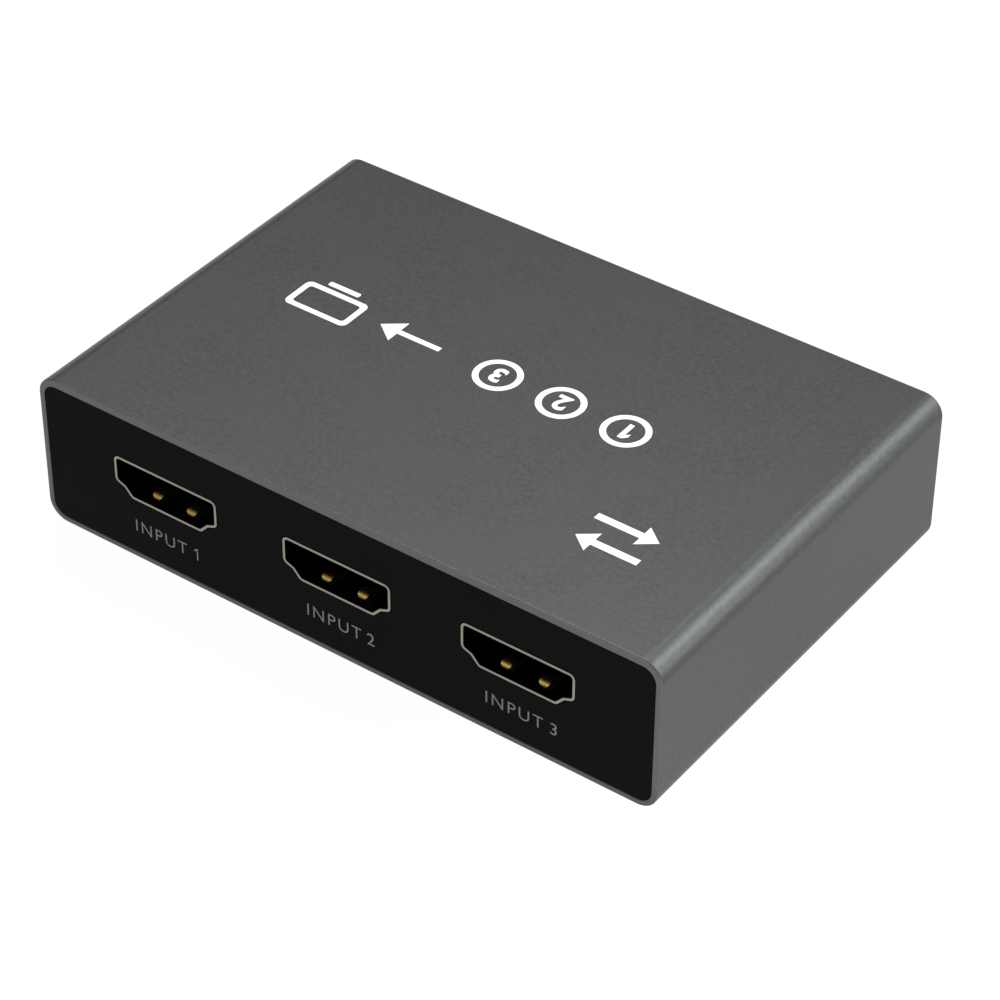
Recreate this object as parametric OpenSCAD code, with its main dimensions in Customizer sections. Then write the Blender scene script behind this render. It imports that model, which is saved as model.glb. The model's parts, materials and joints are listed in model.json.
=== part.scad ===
// Video switch box: an extruded aluminium sleeve, closed at both mouths by moulded panels, round
// a board that carries three input sockets, one output socket, a power inlet, a select switch and
// three status lights. Millimetres. +X is the width, the input panel faces -Y, +Z is up, and the
// feet stand on z = 0 with the origin under the middle of the box.

/* [Sleeve] */
// Width of the sleeve
box_w = 83.5; // [76:0.5:120]
// Depth of the sleeve, which is also the depth from panel face to panel face
box_d = 55.5; // [50:0.5:90]
// Height of the sleeve, without the feet
box_h = 20; // [17:0.5:30]
// Outer radius of the four long edges
corner_r = 2.5; // [1.8:0.1:4]
// Wall of the extrusion
wall = 1.2; // [1:0.1:1.6]
// Rim of the wall that shows beside and below each panel
lip = 0.7; // [0.5:0.05:0.85]
// Rim of the wall that shows above each panel
lip_top = 0.95; // [0.5:0.05:0.95]
// Rounding of the sleeve's outer edge at both mouths
mouth_edge = 0.1; // [0.05:0.05:0.4]
// Thickness of the rails that hold the board
rail_t = 1; // [0.6:0.1:1.6]
// Reach of the rails into the sleeve
rail_reach = 1.6; // [1:0.1:2.4]

/* [Panels] */
// Thickness of both panels, which is also the depth of the seats milled for them
panel_t = 1.5; // [1:0.1:2.2]
// Gap between a panel's edge and the rim round it
panel_clear = 0.08; // [0.04:0.01:0.15]
// Gap round everything that passes through a panel
cutout_clear = 0.15; // [0.08:0.01:0.25]
// Diameter of the screw bosses behind the panels
boss_d = 5.5; // [4:0.1:7]
// Gap between the bosses and the legs that stick out under the board
boss_gap = 0.3; // [0.2:0.1:1]

/* [Feet and screws] */
// Diameter of a foot
foot_d = 8; // [6:0.5:10]
// Height of a foot
foot_h = 1; // [0.6:0.1:2.5]
// Foot and screw axis from the sleeve's side
foot_inset_x = 9; // [7:0.5:14]
// Foot and screw axis from the sleeve's mouth
foot_inset_y = 7.5; // [6:0.5:12]
// Shank diameter of the panel screws
screw_d = 2; // [1.6:0.1:2.6]
// Head diameter of the panel screws
screw_head_d = 3.6; // [3:0.1:4]
// Length of the panel screws with their heads
screw_len = 4; // [3:0.5:4.5]
// Gap round the screws in the sleeve and in the bosses
screw_clear = 0.06; // [0.03:0.01:0.12]

/* [Video sockets] */
// Distance from one input socket to the next
socket_pitch = 23.9; // [19:0.1:26]
// Height of a socket's floor above the sleeve's underside
socket_floor = 8.6; // [8:0.1:10]
// Place of the output socket across the width
output_x = 12; // [6:0.5:16]
// Width of a socket's opening
socket_w = 14; // [12:0.1:16]
// Height of a socket's opening
socket_h = 4.55; // [4:0.05:5.5]
// Height of the straight sides, from the top down
socket_side = 3; // [2.4:0.1:3.2]
// Width of the sloping shoulder below each straight side
shoulder_in = 1.17; // [0.8:0.01:1.5]
// Drop of that shoulder
shoulder_drop = 0.46; // [0.3:0.01:0.6]
// Width of the narrow floor
socket_floor_w = 9.7; // [8:0.1:10.4]
// Inner radius of the shell's bends
bend_r = 0.45; // [0.2:0.05:0.5]
// Thickness of the shell's sheet metal
shell_t = 0.3; // [0.25:0.05:0.45]
// Length of a shell, from the panel's face to its back end
socket_depth = 11.5; // [10:0.1:13]
// Width of a shell's legs
leg_w = 1.4; // [0.8:0.1:2]
// First pair of legs, from the panel's face to their middle
leg_front = 3.8; // [3.2:0.1:4.5]
// Distance from the first pair of legs to the second
leg_pitch = 5.6; // [4:0.1:7]
// Length of the legs and pins that sticks out under the board
leg_out = 0.7; // [0.4:0.1:1.2]
// Gap round a leg or pin in its slot in the board
leg_clear = 0.15; // [0.1:0.01:0.3]

/* [Spring fingers] */
// Width of a finger
finger_w = 1.3; // [0.8:0.1:1.8]
// Distance between the two fingers of one wall
finger_spread = 4.9; // [3.6:0.1:6]
// Slot beside and in front of a finger
finger_gap = 0.3; // [0.2:0.05:0.5]
// Crest of a finger, from the panel's face
finger_crest = 1.9; // [1.6:0.1:2.4]
// Height of the crest inside the wall
finger_rise = 0.55; // [0.4:0.05:0.65]
// Outer radius of the crest
finger_bend_r = 0.7; // [0.6:0.05:0.9]
// Rounding of a finger's free tip
finger_tip_r = 0.5; // [0.2:0.05:0.6]
// Root of a finger, from the panel's face
finger_root = 5.6; // [4.8:0.1:6.5]

/* [Tongue and contacts] */
// Width of the tongue
tongue_w = 12; // [10.5:0.1:12.6]
// Thickness of the tongue
tongue_t = 1.1; // [0.9:0.05:1.3]
// Height of the tongue's middle above the socket's floor
tongue_z = 2.5; // [2.2:0.05:2.7]
// Front edge of the tongue, from the panel's face
tongue_front = 2.4; // [1.8:0.1:3.4]
// Length of the insulator's block at the back of the shell
insulator_len = 2.6; // [1.8:0.1:3.5]
// Reach of the insulator beyond the shell's back end
insulator_out = 0.4; // [0.3:0.05:0.8]
// Gap between the insulator and the shell
insulator_clear = 0.05; // [0.03:0.01:0.1]
// Contacts in the upper row, and one fewer in the lower row
contact_n = 10; // [4:1:11]
// Distance from one contact of a row to the next
contact_pitch = 1; // [0.8:0.05:1.1]
// Width of a contact
contact_w = 0.35; // [0.25:0.05:0.45]
// Thickness of a contact
contact_t = 0.2; // [0.15:0.01:0.25]
// Length of a contact's foot on the board
contact_foot = 1; // [0.6:0.1:1.4]
// Gap round a contact in its groove
contact_clear = 0.02; // [0.01:0.01:0.04]

/* [Board] */
// Thickness of the board
board_t = 1.6; // [1:0.1:2]
// Gap between the board's ends and the panels
board_gap = 0.3; // [0.2:0.05:0.8]
// Gap round the board's long edges in the rails
board_clear = 0.1; // [0.05:0.01:0.2]

/* [Power inlet] */
// Middle of the power inlet from the sleeve's side
inlet_inset = 12.75; // [11:0.25:16]
// Outer width of the inlet's shell
inlet_w = 8.94; // [8:0.01:10]
// Outer height of the inlet's shell
inlet_h = 3.26; // [3:0.01:4]
// Sheet of the inlet's shell
inlet_t = 0.35; // [0.25:0.05:0.45]
// Length of the inlet's shell
inlet_depth = 7.3; // [6.5:0.1:9]
// Width of the inlet's tongue
inlet_tongue_w = 6.7; // [6:0.1:7]
// Thickness of the inlet's tongue
inlet_tongue_t = 0.7; // [0.6:0.05:0.9]
// Front edge of the inlet's tongue, from the mouth
inlet_tongue_front = 0.8; // [0.5:0.1:1.5]
// Length of the insulator's block at the back of the inlet
inlet_insulator_len = 1.8; // [1.2:0.1:2.6]
// Width of the inlet's legs
inlet_leg_w = 0.7; // [0.5:0.05:1]
// First pair of the inlet's legs, from the mouth to their middle
inlet_leg_front = 2.9; // [2.5:0.1:3.5]
// Distance from the first pair of the inlet's legs to the second
inlet_leg_pitch = 2.9; // [2.2:0.1:3.2]
// Contacts in each row of the inlet
inlet_contact_n = 6; // [3:1:6]

/* [Select button] */
// Middle of the button from the sleeve's side
button_inset = 13.75; // [12:0.25:15.5]
// Diameter of the button's cap
button_d = 6; // [5:0.1:7]
// Height of the cap above the panel's face
button_proud = 0.8; // [0.4:0.1:0.9]
// Travel of the button
button_travel = 0.3; // [0.2:0.05:0.4]
// Gap round the cap in the panel
button_clear = 0.15; // [0.1:0.01:0.25]
// Width of the collar that keeps the cap in
button_collar = 0.7; // [0.5:0.1:1]
// Thickness of that collar
button_collar_t = 0.8; // [0.6:0.1:1.2]
// Diameter of the hub behind the collar
hub_d = 4.8; // [4.4:0.1:5.4]
// Length of that hub
hub_len = 1.2; // [0.8:0.1:1.6]
// Gap that is left between pieces when the button is pressed home
stop_gap = 0.2; // [0.1:0.05:0.4]

/* [Push switch] */
// Width and height of the switch
switch_size = 6; // [5.6:0.1:6.6]
// Depth of the switch's base
switch_depth = 3.4; // [3:0.1:4.2]
// Sheet of the switch's cover
cover_t = 0.3; // [0.2:0.05:0.4]
// Diameter of the plunger
plunger_d = 3.4; // [2.8:0.1:3.6]
// Diameter of the plunger's collar
plunger_collar_d = 4.2; // [4:0.1:4.4]
// Thickness of the plunger's collar
plunger_collar_t = 0.7; // [0.5:0.1:0.9]
// Diameter of the snap dome
dome_d = 4.4; // [4:0.1:4.6]
// Height of the snap dome
dome_h = 0.5; // [0.45:0.05:0.6]
// Sheet of the snap dome
dome_t = 0.1; // [0.08:0.01:0.14]
// Running gap between the switch's pieces
switch_clear = 0.15; // [0.1:0.01:0.2]

/* [Status lights] */
// Place of the middle light across the width
lights_x = -12; // [-15:0.5:-8]
// Distance from one light to the next
light_pitch = 5; // [4:0.1:6]
// Diameter of the light guide's rods
light_d = 2; // [1.6:0.1:2.6]
// Length of the rods, from the panel's face to the light's axis
light_len = 6.5; // [5:0.1:9]
// Length of a light chip
led_w = 2; // [1.6:0.1:2.4]
// Width of a light chip
led_d = 1.25; // [0.8:0.05:1.6]
// Height of a light chip
led_h = 0.8; // [0.5:0.05:1.2]

/* [Board components] */
// Side of the switching chip
chip_size = 9; // [7:0.5:11]
// Height of the switching chip
chip_h = 0.9; // [0.6:0.1:1.6]
// Length of the controller's body
controller_l = 6.5; // [5:0.1:7.8]
// Width of the controller's body
controller_w = 4.4; // [3.8:0.1:5]
// Height of the controller above the board
controller_h = 1.1; // [0.8:0.1:1.6]
// Distance from one lead of the controller to the next
lead_pitch = 0.65; // [0.5:0.05:0.8]
// Width of a lead of the controller
lead_w = 0.25; // [0.15:0.05:0.35]
// Thickness of a lead of the controller
lead_t = 0.15; // [0.1:0.05:0.2]
// Reach of the controller's leads beyond its body
lead_out = 1; // [0.8:0.1:1.4]
// Length of the crystal's can
crystal_l = 3.2; // [2:0.1:5]
// Width of the crystal's can
crystal_w = 2.5; // [1.6:0.1:3.2]
// Height of the crystal's can
crystal_h = 0.8; // [0.5:0.1:1.2]
// Length of the regulator's body
regulator_l = 6.5; // [5.5:0.1:7.5]
// Width of the regulator's body
regulator_w = 3.5; // [3:0.1:4]
// Height of the regulator above the board
regulator_h = 1.6; // [1.2:0.1:2]
// Distance from one lead of the regulator to the next
regulator_pitch = 2.3; // [1.6:0.1:2.4]
// Reach of the regulator's leads and tab beyond its body
regulator_out = 1.7; // [1.2:0.1:2]
// Side of the power inductor
inductor_size = 4.5; // [3.5:0.1:5.5]
// Height of the power inductor
inductor_h = 2.2; // [1.5:0.1:3]
// Diameter of the bulk capacitor
bulk_d = 5; // [4:0.1:6.3]
// Height of the bulk capacitor
bulk_h = 5.4; // [4:0.1:6.5]

/* [Hidden] */
$fn = 64;
input_n = 3;

// Overshoot of a cut beyond the face that it opens
over = 0.5;
// Steps in a small arc
arc_steps = 6;
// Least radius of a bend or corner
least_r = 0.05;
// Gap between pieces that touch when the real ones are assembled
touch_gap = 0.02;

// The sleeve and its bore
bore_w = box_w - 2 * wall;
bore_h = box_h - 2 * wall;
bore_r = max(corner_r - wall, least_r);
sleeve_z = foot_h;
sleeve_floor = sleeve_z + wall;
seat_h = box_h - lip - lip_top;
panel_inset = lip + panel_clear;
panel_back = box_d / 2 - panel_t;

// The board hangs below the sockets, whose shells stand on it
board_top = sleeve_z + socket_floor - shell_t;
board_z = board_top - board_t;
board_end = panel_back - board_gap;
pin_bottom = board_z - leg_out;

// Feet, screws and bosses share their axes
foot_x = box_w / 2 - foot_inset_x;
foot_y = box_d / 2 - foot_inset_y;
boss_h = pin_bottom - boss_gap - sleeve_floor;
screw_head_h = (screw_head_d - screw_d) / 2;
screw_recess = 0.05;

// The outline of a socket's opening, from the left end of its floor, with the radius of each bend
side_bottom = socket_h - socket_side;
socket_half = [
    [socket_floor_w / 2, 0],
    [socket_w / 2 - shoulder_in, side_bottom - shoulder_drop],
    [socket_w / 2, side_bottom],
    [socket_w / 2, socket_h]
];
socket_corners = concat(socket_half, [for (i = [3:-1:0]) [-socket_half[i][0], socket_half[i][1]]]);

// Contacts start behind the tongue's front edge and leave through the insulator's back
blade_setback = 0.55;
contact_start = tongue_front + blade_setback;
contact_back = socket_depth + insulator_out;

// The power inlet lies on the board
inlet_x = box_w / 2 - inlet_inset;
inlet_back = inlet_depth + insulator_out;
inlet_block = inlet_depth - inlet_insulator_len;
inlet_blade_front = inlet_tongue_front + blade_setback;

// Stations of the button and its switch along Y, from the panel's back face inward
button_x = button_inset - box_w / 2;
collar_front = panel_back - stop_gap / 2;
collar_back = collar_front - button_collar_t;
hub_back = collar_back - hub_len;
cover_front = hub_back - button_travel - stop_gap;
base_front = cover_front - cover_t;
plunger_collar_front = base_front - touch_gap;
plunger_collar_back = plunger_collar_front - plunger_collar_t;
nub_len = button_travel + stop_gap;
dome_crown = plunger_collar_back - nub_len - touch_gap;
cavity_back = dome_crown - dome_h;
plunger_tip = collar_back + button_collar_t / 2;
cap_fit = 0.05;
axis_z = board_top + switch_size / 2;
terminal_w = 0.7;
terminal_t = 0.3;
terminal_x = switch_size * 0.35;
terminal_y = base_front - switch_depth / 2;
terminal_pocket = switch_size * 0.2;
cover_leg_w = 1;
cover_arm = switch_depth * 0.7;
cover_arm_h = switch_size / 3;
cover_arm_y = cover_front - cover_arm / 2;

// The light guide's elbows stand over the light chips
light_y = box_d / 2 - light_len;
guide_bar = 1.4;
guide_bar_y = (panel_back + light_y) / 2;
guide_post = 1.2;
guide_peg_d = 0.9;
guide_peg_len = 0.8;

// Rows of small components behind the sockets and round the switching chip
row_gap = 1.4;
array_size = [2.5, 1, 0.5];
array_pitch = 3.2;
array_n = 4;
array_y = box_d / 2 - contact_back - contact_foot - row_gap - array_size[1] / 2;
capacitor_size = [1.6, 0.8, 0.8];
resistor_size = [1.6, 0.8, 0.45];
small_pitch = 1.7;
chip_row_y = chip_size / 2 + row_gap;

// Places of the larger components on the board, and the gap under their bodies
controller_x = -22;
controller_y = 2;
crystal_x = controller_x + controller_l / 2 + 2 * crystal_l;
regulator_y = box_d / 2 - inlet_back - contact_foot - regulator_out - row_gap - regulator_w / 2;
inductor_x = inlet_x - inductor_size - 4;
inductor_y = 4;
bulk_y = -4;
stand_off = 0.1;

function unit(v) = v / norm(v);
function turned(v, angle) = [v[0] * cos(angle) - v[1] * sin(angle), v[0] * sin(angle) + v[1] * cos(angle)];
function right_of(v) = [v[1], -v[0]];
function wrap(p, i) = p[(i + len(p)) % len(p)];
function ahead(p, i) = unit(wrap(p, i + 1) - wrap(p, i));
function bend_side(p, i) = sign(cross(ahead(p, i - 1), ahead(p, i)));

// A closed outline with every side moved out by g
function grown(p, g) = [
    for (i = [0:len(p) - 1])
        let (a = right_of(ahead(p, i - 1)), b = right_of(ahead(p, i)))
        p[i] + g * (a + b) / (1 + a * b)
];

// A closed outline with its corners bent at radius r, which grows by g outside a bend
function bent(p, r, g) = [
    for (i = [0:len(p) - 1])
        let (
            a = ahead(p, i - 1),
            b = ahead(p, i),
            side = bend_side(p, i),
            turn = acos(a * b),
            r_i = max(r + side * g, least_r),
            centre = p[i] + unit(b - a) * r_i / cos(turn / 2)
        )
        for (k = [0:arc_steps]) centre + side * r_i * turned(right_of(a), side * turn * k / arc_steps)
];

// Points of an arc about c, from one angle to another
function arc(c, r, from, to) = [
    for (k = [0:arc_steps])
        let (angle = from + (to - from) * k / arc_steps)
        c + r * [cos(angle), sin(angle)]
];

// The outer side of a bar of half width r and length l whose two end edges are rounded by e
function edged_side(r, l, e) = concat(arc([r - e, e], e, -90, 0), arc([r - e, l - e], e, 0, 90));
function both_sides(p) = concat(p, [for (i = [len(p) - 1:-1:0]) [-p[i][0], p[i][1]]]);

// A flat outline, drawn in X and Z, pulled along +Y
module extrude_y(l) {
    translate([0, l, 0]) rotate([90, 0, 0]) linear_extrude(l) children();
}

// A flat outline, drawn in Y and Z, pulled along X to both sides
module extrude_x(w) {
    translate([-w / 2, 0, 0]) rotate([90, 0, 90]) linear_extrude(w) children();
}

// A bar along Y with rounded long edges, standing on z = 0
module bar(w, h, r, l) {
    translate([-w / 2, -l / 2, r]) cube([w, l, h - 2 * r]);
    translate([r - w / 2, -l / 2, 0]) cube([w - 2 * r, l, h]);
    for (x = [r - w / 2, w / 2 - r], z = [r, h - r]) {
        translate([x, -l / 2, z]) rotate([-90, 0, 0]) cylinder(r = r, h = l);
    }
}

// The same bar with its end edges rounded by e
module edged_bar(w, h, r, l, e) {
    translate([0, -l / 2, r]) linear_extrude(h - 2 * r) polygon(both_sides(edged_side(w / 2, l, e)));
    translate([w / 2 - r, -l / 2, h / 2]) rotate([0, -90, 0])
        linear_extrude(w - 2 * r) polygon(both_sides(edged_side(h / 2, l, e)));
    for (x = [r - w / 2, w / 2 - r], z = [r, h - r]) {
        translate([x, -l / 2, z]) rotate([-90, 0, 0])
            rotate_extrude() polygon(concat([[0, 0]], edged_side(r, l, e), [[0, l]]));
    }
}

// A cylinder along Y from one station to another
module rod_y(d, from, to) {
    translate([0, from, 0]) rotate([-90, 0, 0]) cylinder(d = d, h = to - from);
}

// A block centred on X and Y that stands on z = 0
module block(size) {
    translate([-size[0] / 2, -size[1] / 2, 0]) cube(size);
}

// The same block with a gap all round it, cut from below through a thickness
module slot(w, d, gap, depth) {
    translate([0, 0, -over]) block([w + 2 * gap, d + 2 * gap, depth + 2 * over]);
}

// Places
module at_feet() {
    for (x = [-foot_x, foot_x], y = [-foot_y, foot_y]) {
        translate([x, y, 0]) children();
    }
}

module at_input(i) {
    translate([(i - (input_n + 1) / 2) * socket_pitch, -box_d / 2, sleeve_z + socket_floor]) children();
}

module at_output() {
    translate([output_x, box_d / 2, sleeve_z + socket_floor]) rotate(180) children();
}

module at_sockets() {
    for (i = [1:input_n]) {
        at_input(i) children();
    }
    at_output() children();
}

module at_inlet() {
    translate([inlet_x, box_d / 2, board_top + inlet_h / 2]) rotate(180) children();
}

module at_button() {
    translate([button_x, 0, axis_z]) children();
}

module at_light(i) {
    translate([lights_x + (i - (input_n + 1) / 2) * light_pitch, light_y, board_top]) children();
}

module at_guide_posts() {
    for (side = [-1, 1]) {
        translate([lights_x + side * light_pitch / 2, guide_bar_y, board_top]) children();
    }
}

module at_legs() {
    for (side = [-1, 1], y = [leg_front, leg_front + leg_pitch]) {
        translate([side * (socket_w + shell_t) / 2, y, 0]) children();
    }
}

module at_inlet_legs() {
    for (side = [-1, 1], y = [inlet_leg_front, inlet_leg_front + inlet_leg_pitch]) {
        translate([side * (inlet_w - inlet_t) / 2, y, 0]) children();
    }
}

module at_cover_arms() {
    for (side = [-1, 1]) {
        translate([button_x + side * (switch_size + cover_t) / 2, cover_arm_y, 0]) children();
    }
}

module at_terminals() {
    for (side = [-1, 1]) {
        translate([button_x + side * terminal_x, terminal_y, 0]) children();
    }
}

// Sleeve
module panel_seat() {
    translate([0, box_d / 2 - panel_t / 2 + over / 2, sleeve_z + lip])
        bar(box_w - 2 * lip, seat_h, corner_r - lip, panel_t + over);
}

module rails() {
    root = (wall - lip) / 2;
    for (side = [0, 1], z = [board_z - board_clear - rail_t, board_top + board_clear]) {
        mirror([side, 0, 0]) translate([bore_w / 2 - rail_reach, -box_d / 2, z])
            cube([rail_reach + root, box_d, rail_t]);
    }
}

module sleeve() {
    color("#5d615d")
    difference() {
        union() {
            difference() {
                translate([0, 0, sleeve_z]) edged_bar(box_w, box_h, corner_r, box_d, mouth_edge);
                translate([0, 0, sleeve_floor]) bar(bore_w, bore_h, bore_r, box_d + 2 * over);
            }
            rails();
        }
        for (end = [0, 1]) {
            mirror([0, end, 0]) panel_seat();
        }
        at_feet() screw_shape(screw_clear);
    }
}

// Panels, drawn at the +Y mouth
module panel_blank() {
    translate([0, box_d / 2 - panel_t / 2, sleeve_z + panel_inset])
        bar(box_w - 2 * panel_inset, seat_h - 2 * panel_clear, corner_r - panel_inset, panel_t);
    for (x = [-foot_x, foot_x]) {
        translate([x, foot_y, sleeve_floor]) cylinder(d = boss_d, h = boss_h);
        translate([x - boss_d / 2, foot_y, sleeve_floor])
            cube([boss_d, panel_back + panel_t / 2 - foot_y, boss_h]);
    }
}

module pilot_holes() {
    for (x = [-foot_x, foot_x]) {
        translate([x, foot_y, sleeve_floor - over])
            cylinder(d = screw_d + 2 * screw_clear, h = screw_len - wall + 2 * over);
    }
}

module input_panel() {
    color("#161516")
    difference() {
        mirror([0, 1, 0]) panel_blank();
        mirror([0, 1, 0]) pilot_holes();
        for (i = [1:input_n]) {
            at_input(i) socket_passage();
        }
    }
}

module output_panel() {
    color("#161516")
    difference() {
        panel_blank();
        pilot_holes();
        at_output() socket_passage();
        at_inlet() translate([0, -over, 0]) extrude_y(panel_t + 2 * over) inlet_outline(cutout_clear);
        at_button() rod_y(button_d + 2 * button_clear, panel_back - over, box_d / 2 + over);
        for (i = [1:input_n]) {
            at_light(i) light_rod(light_d + 2 * cutout_clear, light_len + over);
        }
    }
}

// Screws that hold the panels, with their heads sunk in the sleeve's underside
module screw_shape(gap) {
    head_z = sleeve_z + screw_recess;
    head = screw_head_d + 2 * gap;
    shank = screw_d + 2 * gap;
    translate([0, 0, head_z]) cylinder(d1 = head, d2 = shank, h = screw_head_h);
    translate([0, 0, head_z]) cylinder(d = shank, h = screw_len);
    if (gap > 0) {
        translate([0, 0, sleeve_z - over]) cylinder(d = head, h = over + screw_recess);
    }
}

module panel_screws() {
    arm = screw_head_d * 0.5;
    slot_w = screw_head_d * 0.14;
    slot_h = screw_head_h * 0.6;
    color("#8c8c8e")
    at_feet() difference() {
        screw_shape(0);
        for (turn = [0, 90]) {
            translate([0, 0, sleeve_z - over]) rotate(turn) block([arm, slot_w, over + slot_h]);
        }
    }
}

module rubber_feet() {
    r = foot_d / 2;
    round_r = foot_h * 0.45;
    color("#1c1c1c")
    at_feet() rotate_extrude()
        polygon(concat([[0, 0]], arc([r - round_r, round_r], round_r, -90, 0), [[r, foot_h], [0, foot_h]]));
}

// Board
module main_board() {
    notch_w = button_d + 2 * (button_collar + stop_gap);
    notch_d = board_end - collar_back + button_travel + stop_gap;
    color("#14402a")
    difference() {
        translate([0, 0, board_z]) block([bore_w - 2 * board_clear, 2 * board_end, board_t]);
        translate([button_x, board_end - notch_d / 2 + over / 2, board_z])
            slot(notch_w, notch_d + over, 0, board_t);
        at_sockets() at_legs() translate([0, 0, -shell_t - board_t])
            slot(shell_t, leg_w, leg_clear, board_t);
        at_inlet() at_inlet_legs() translate([0, 0, -inlet_h / 2 - board_t])
            slot(inlet_t, inlet_leg_w, leg_clear, board_t);
        at_cover_arms() translate([0, 0, board_z]) slot(cover_t, cover_leg_w, leg_clear, board_t);
        at_terminals() translate([0, 0, board_z]) slot(terminal_w, terminal_t, leg_clear, board_t);
        at_guide_posts() translate([0, 0, -guide_peg_len - leg_clear])
            cylinder(d = guide_peg_d + 2 * leg_clear, h = guide_peg_len + leg_clear + over);
    }
}

// Video sockets, drawn with the panel's face at y = 0 and the floor of the opening at z = 0
module socket_outline(g) {
    polygon(bent(grown(socket_corners, g), bend_r, g));
}

module socket_passage() {
    translate([0, -over, 0]) extrude_y(panel_t + 2 * over) socket_outline(shell_t + cutout_clear);
}

module at_fingers() {
    for (x = [-finger_spread / 2, finger_spread / 2], roof = [0, 1]) {
        translate([x, 0, roof * socket_h]) mirror([0, 0, roof]) children();
    }
}

module finger_window() {
    front = finger_crest - finger_bend_r - finger_gap;
    w = finger_w + 2 * finger_gap;
    h = shell_t + over + finger_rise / 2;
    translate([-w / 2, front, -shell_t - over]) cube([w, finger_root - front, h]);
}

// The outline of a finger, drawn upwards from its round tip
module finger_outline() {
    corner = [finger_w / 2 - finger_tip_r, finger_tip_r];
    polygon(both_sides(concat(arc(corner, finger_tip_r, -90, 0), [[finger_w / 2, finger_root]])));
}

// A strip that leaves the wall at its root and curls over a crest near the mouth, with its tip down
module finger() {
    centre = [finger_crest, finger_rise - finger_bend_r];
    root = [finger_root, 0];
    heel = root + [shell_t, 0];
    slope = asin(finger_bend_r / norm(root - centre)) + atan2(centre[1], root[0] - centre[0]);
    front = finger_crest - finger_bend_r;
    low = -shell_t - over;
    tip_tilt = 45;
    intersection() {
        extrude_x(finger_w + 2 * over) polygon(concat(
            [[front, low]],
            arc(centre, finger_bend_r, 180, 90 - slope),
            [root, heel, heel - [0, shell_t], root - shell_t * [sin(slope), cos(slope)]],
            arc(centre, finger_bend_r - shell_t, 90 - slope, 180),
            [[front + shell_t, low]]
        ));
        translate([0, front, touch_gap]) rotate([-tip_tilt, 0, 0]) translate([0, -finger_root, 0])
            extrude_y(2 * finger_root) finger_outline();
    }
}

module video_shell() {
    leg_top = side_bottom + leg_w / 2;
    leg_foot = -shell_t - board_t - leg_out;
    color("#b9b6aa")
    union() {
        difference() {
            extrude_y(socket_depth) socket_outline(shell_t);
            translate([0, -over, 0]) extrude_y(socket_depth + 2 * over) socket_outline(0);
            at_fingers() finger_window();
        }
        at_fingers() finger();
        at_legs() translate([0, 0, leg_foot]) block([shell_t, leg_w, leg_top - leg_foot]);
    }
}

// Every contact of a socket: its place across the tongue and the underside of its blade
module at_contacts() {
    for (row = [0, 1], k = [0:contact_n - 1 - row]) {
        x = (k - (contact_n - 1 - row) / 2) * contact_pitch;
        blade_z = row == 0 ? tongue_z + tongue_t / 2 - contact_t : tongue_z - tongue_t / 2;
        translate([x, 0, 0]) {
            $blade_z = blade_z;
            children();
        }
    }
}

module contact_groove() {
    w = contact_w + 2 * contact_clear;
    h = contact_t + 2 * contact_clear;
    translate([-w / 2, contact_start - contact_clear, $blade_z - contact_clear])
        cube([w, contact_back - contact_start + over, h]);
}

module contact() {
    board = -shell_t;
    extrude_x(contact_w) polygon([
        [contact_start, $blade_z],
        [contact_back, $blade_z],
        [contact_back, board],
        [contact_back + contact_foot, board],
        [contact_back + contact_foot, board + contact_t],
        [contact_back + contact_t, board + contact_t],
        [contact_back + contact_t, $blade_z + contact_t],
        [contact_start, $blade_z + contact_t]
    ]);
}

module video_insulator() {
    block_front = socket_depth - insulator_len;
    bevel = tongue_t / 4;
    low = tongue_z - tongue_t / 2;
    high = tongue_z + tongue_t / 2;
    color("#121212")
    difference() {
        union() {
            translate([0, block_front, 0])
                extrude_y(contact_back - block_front) socket_outline(-insulator_clear);
            extrude_x(tongue_w) polygon([
                [tongue_front, low + bevel],
                [tongue_front + bevel, low],
                [block_front + over, low],
                [block_front + over, high],
                [tongue_front + bevel, high],
                [tongue_front, high - bevel]
            ]);
        }
        at_contacts() contact_groove();
    }
}

module video_contacts() {
    color("#c9a14a") at_contacts() contact();
}

// Power inlet, drawn with the mouth at y = 0 and its middle at z = 0
module inlet_outline(g) {
    h = inlet_h + 2 * g;
    run = inlet_w - inlet_h;
    translate([-run / 2, -h / 2]) square([run, h]);
    for (x = [-run / 2, run / 2]) {
        translate([x, 0]) circle(d = h);
    }
}

module power_shell() {
    foot = -inlet_h / 2 - board_t - leg_out;
    color("#b4b4b0")
    at_inlet() union() {
        difference() {
            union() {
                extrude_y(inlet_depth) inlet_outline(0);
                at_inlet_legs() translate([0, 0, foot]) block([inlet_t, inlet_leg_w, -foot]);
            }
            translate([0, -over, 0]) extrude_y(inlet_depth + 2 * over) inlet_outline(-inlet_t);
        }
    }
}

module at_inlet_contacts() {
    pitch = inlet_tongue_w / (inlet_contact_n + 0.5);
    for (row = [0, 1], k = [0:inlet_contact_n - 1]) {
        x = (k - (inlet_contact_n - 1) / 2 + (row - 0.5) / 2) * pitch;
        blade_z = row == 0 ? inlet_tongue_t / 2 - contact_t : -inlet_tongue_t / 2;
        translate([x, 0, 0]) {
            $blade_z = blade_z;
            children();
        }
    }
}

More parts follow.
